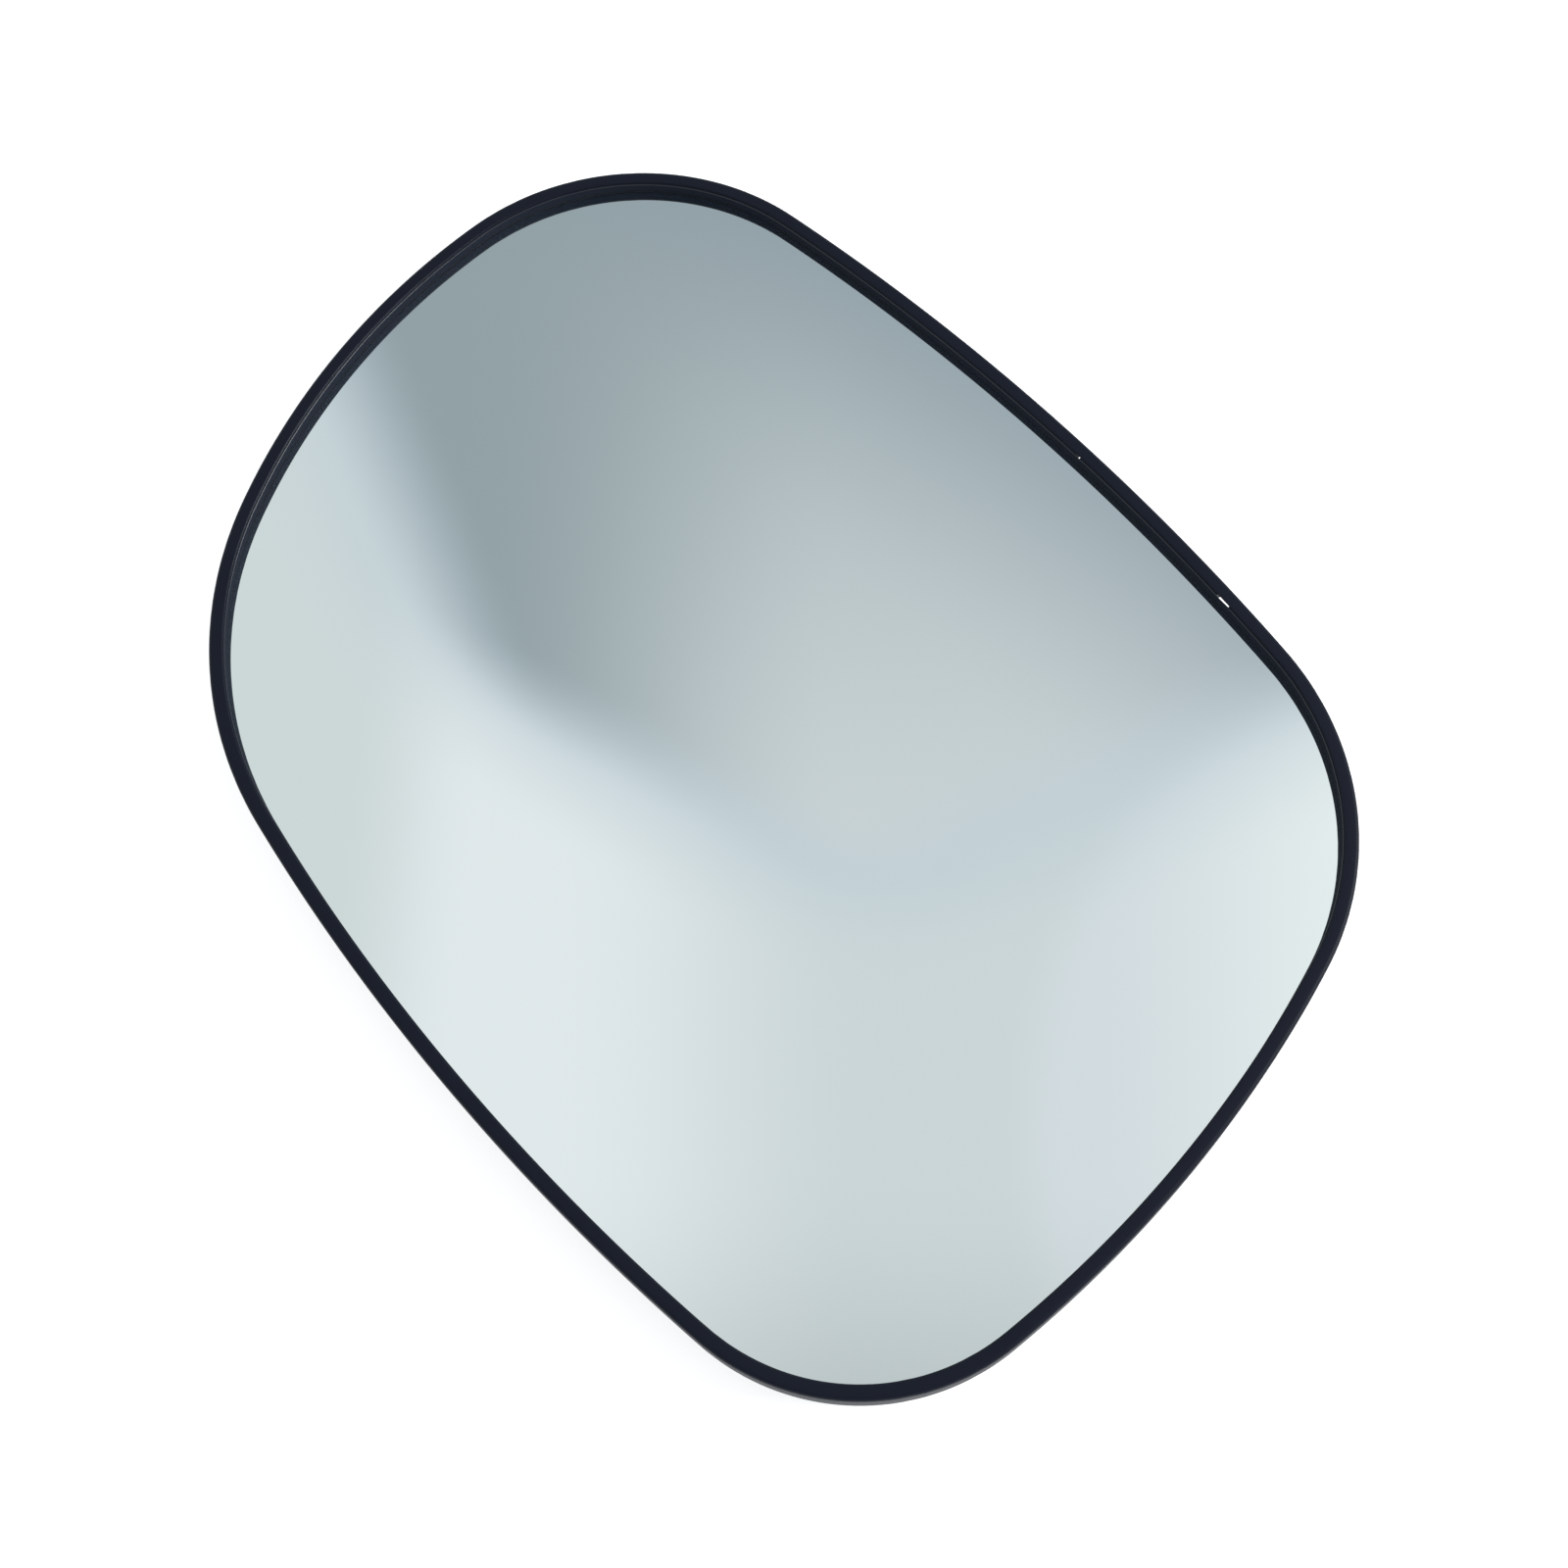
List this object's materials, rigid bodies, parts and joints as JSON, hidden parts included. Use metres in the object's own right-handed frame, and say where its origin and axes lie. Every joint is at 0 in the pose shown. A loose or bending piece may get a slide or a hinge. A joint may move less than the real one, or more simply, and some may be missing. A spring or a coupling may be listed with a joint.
{
  "type": "car door mirror glass",
  "caption": "Convex car door mirror glass with a rounded, slanting outline, bonded into a black moulded holder with a raised rim, and a stiffening ring and snap claws on its back.",
  "frame": {"origin": "middle of the stiffening ring's end face, on the plane that the part lies on", "axes": "+X outboard along the width, +Y up on the car, +Z out of the glass"},
  "size_m": [0.19, 0.137, 0.0146],
  "materials": {
    "silvered_glass": "polished",
    "foam": "matt closed-cell foam",
    "holder_plastic": "satin, fine moulded grain"
  },
  "bodies": {
    "root": {"mirror_glass": "silvered_glass", "adhesive_pad": "foam", "backing_plate": "holder_plastic"}
  },
  "joints": []
}
